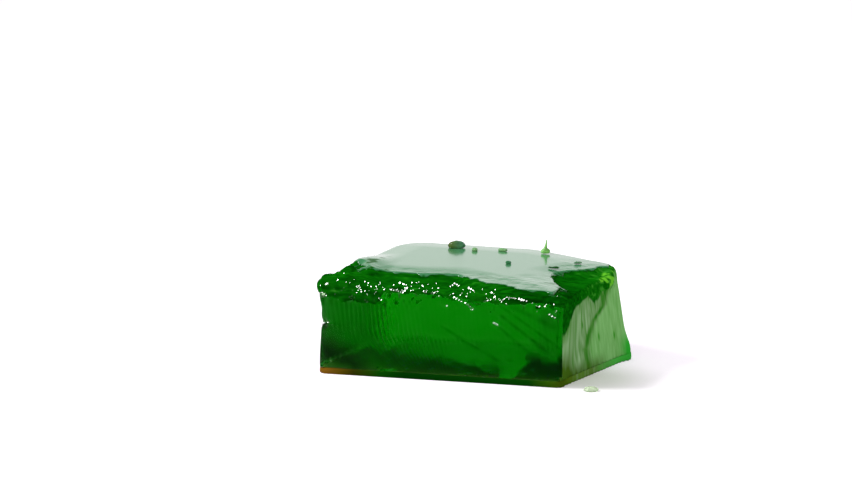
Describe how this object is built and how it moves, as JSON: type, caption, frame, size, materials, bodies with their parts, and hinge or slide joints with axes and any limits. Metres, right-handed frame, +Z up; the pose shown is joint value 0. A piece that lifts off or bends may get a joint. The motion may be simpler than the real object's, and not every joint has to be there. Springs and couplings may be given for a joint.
{
  "type": "jelly block",
  "caption": "Hand-cut block of wet, translucent green gelatin jelly on a thin amber foot layer, with a set skin on top and torn rolls and crumbs along its rim.",
  "frame": {"origin": "middle of the box round the foot's outline, on the face that the block rests on", "axes": "+X to the right along the front cut, +Y to the rear, +Z up"},
  "size_m": [0.0631, 0.0485, 0.0256],
  "materials": {
    "green_gel": "wet, glossy, clear deep green gel",
    "amber_gel": "wet, glossy, clear amber gel",
    "skin_gel": "wet, mirror-smooth dried gel skin",
    "torn_gel": "wet, glossy, torn deep green gel",
    "crumb_gel": "wet, glossy, thin lime green gel"
  },
  "bodies": {
    "root": {"amber_foot": "amber_gel", "green_body": "green_gel", "top_skin": "skin_gel", "rim_roll_left": "torn_gel", "rim_roll_middle": "torn_gel", "rim_shred_drooping": "torn_gel", "rim_welt_right": "torn_gel", "rim_bead_right": "torn_gel", "rim_chip_left_rear": "torn_gel", "rim_chip_left_front": "torn_gel", "crumb_rear_large": "crumb_gel", "crumb_rear_small_left": "crumb_gel", "crumb_rear_small_right": "crumb_gel", "crumb_rear_spiked": "crumb_gel", "crumb_middle": "crumb_gel", "flake_front_right": "crumb_gel", "flake_right": "crumb_gel", "loose_crumb": "crumb_gel"}
  },
  "joints": []
}
